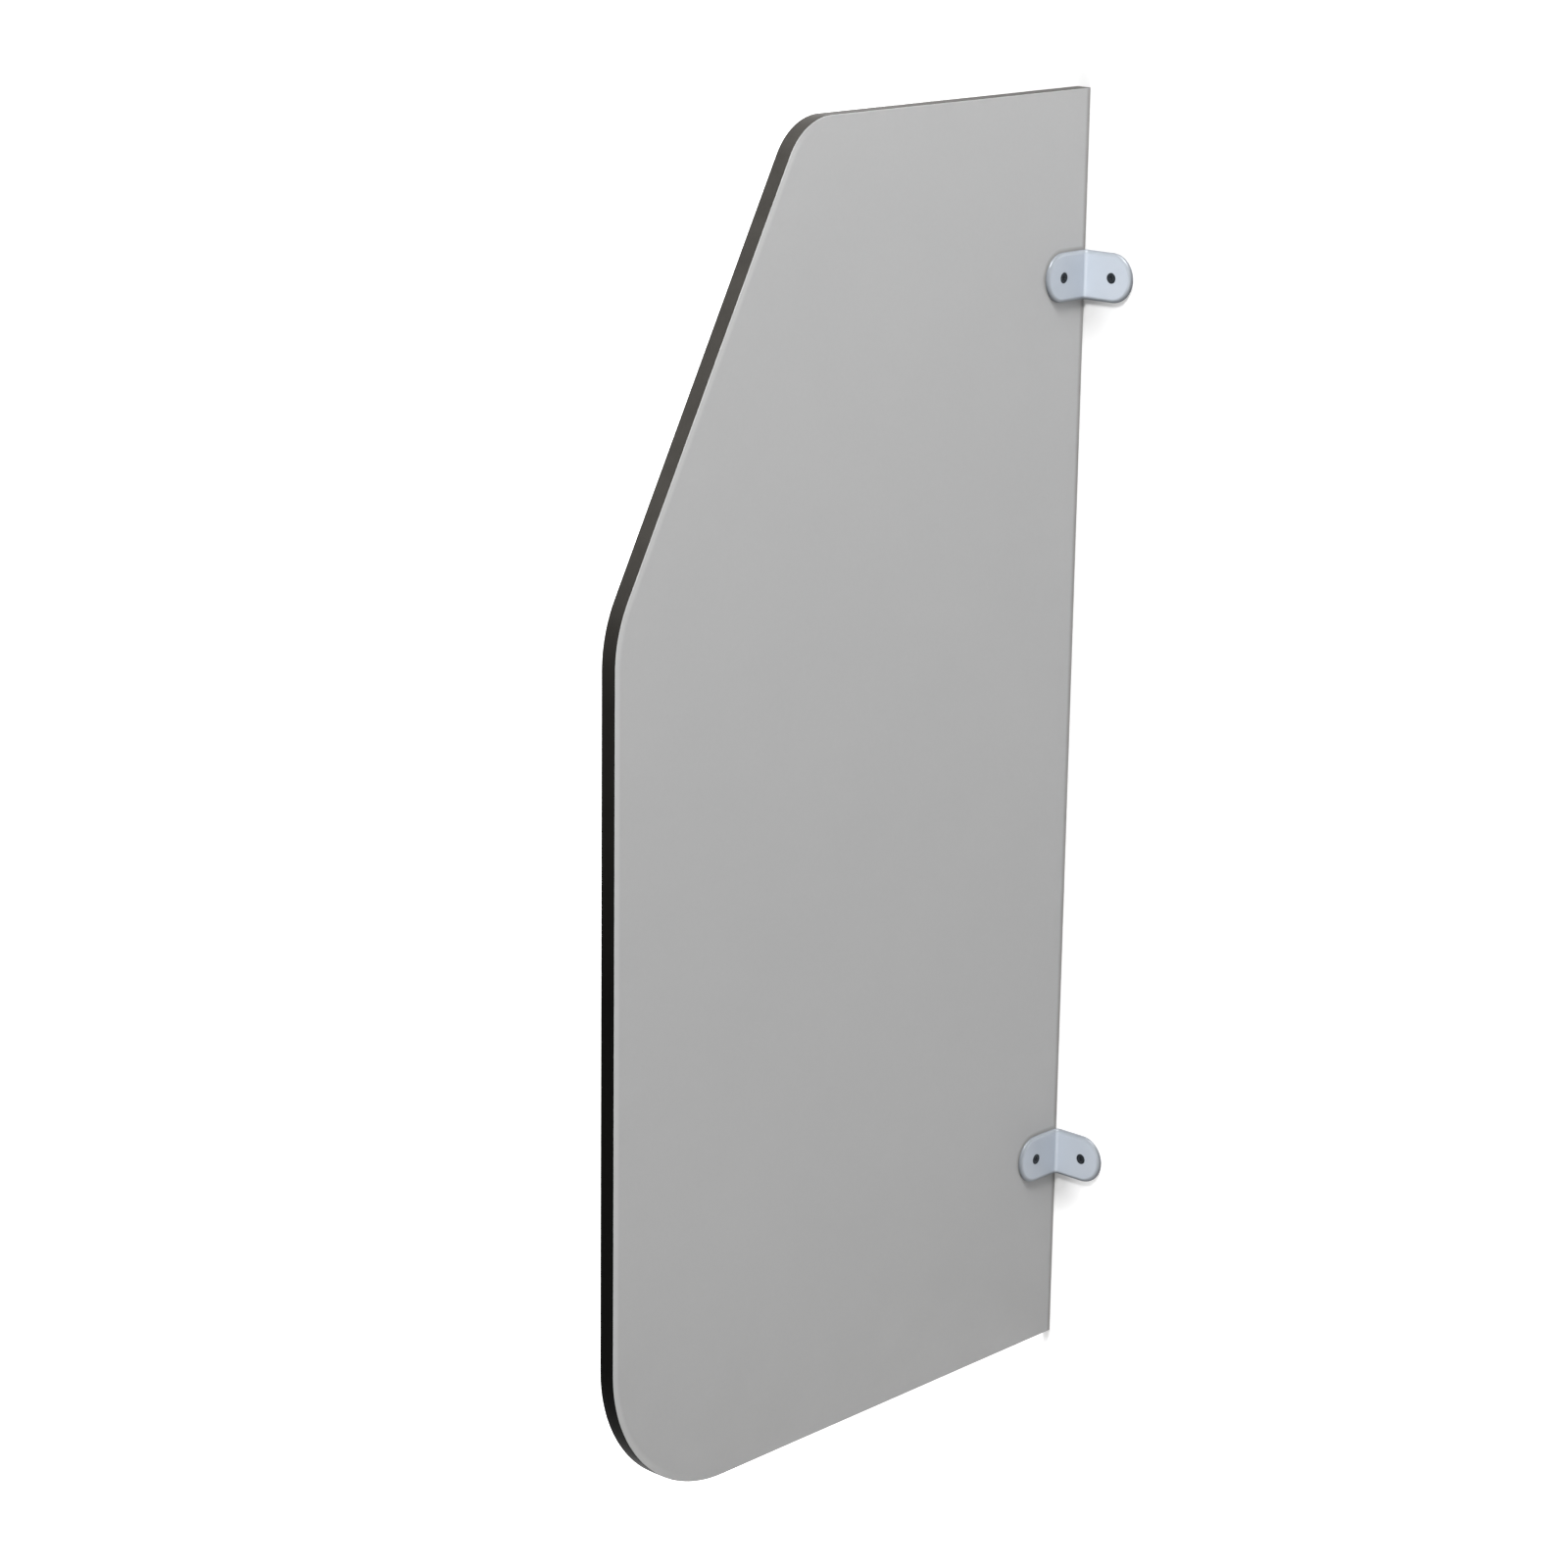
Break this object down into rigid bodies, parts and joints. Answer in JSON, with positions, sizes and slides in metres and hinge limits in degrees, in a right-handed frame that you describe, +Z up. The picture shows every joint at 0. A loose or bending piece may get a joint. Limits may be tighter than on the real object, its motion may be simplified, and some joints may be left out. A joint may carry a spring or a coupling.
{
  "type": "urinal privacy screen",
  "caption": "Flat light-grey laminate privacy screen with a dark edge, sloped and rounded in front, held square to a wall by angle brackets, screws and wall plugs.",
  "frame": {"origin": "on the wall plane at the board's rear edge, midway between the board's faces and midway between the heights of its two wall plugs", "axes": "+Y into the wall, +Z up, and the board reaches out along -Y in the plane X = 0, with both brackets on its +X face"},
  "size_m": [0.054, 0.4925, 0.9],
  "materials": {
    "board_core": "brown-black phenolic core, milled and buffed at the edge",
    "face_laminate": "light-grey melamine face, fine matt texture",
    "bracket_metal": "satin, bluish white",
    "screw_steel": "blackened, oiled",
    "insert_brass": "turned",
    "plug_nylon": "moulded nylon"
  },
  "bodies": {
    "root": {"core_board": "board_core", "near_face_sheet": "face_laminate", "far_face_sheet": "face_laminate", "upper_bracket": "bracket_metal", "lower_bracket": "bracket_metal", "upper_board_screw": "screw_steel", "lower_board_screw": "screw_steel", "upper_board_insert": "insert_brass", "lower_board_insert": "insert_brass", "upper_wall_screw": "screw_steel", "lower_wall_screw": "screw_steel", "upper_wall_plug": "plug_nylon", "lower_wall_plug": "plug_nylon"}
  },
  "joints": []
}
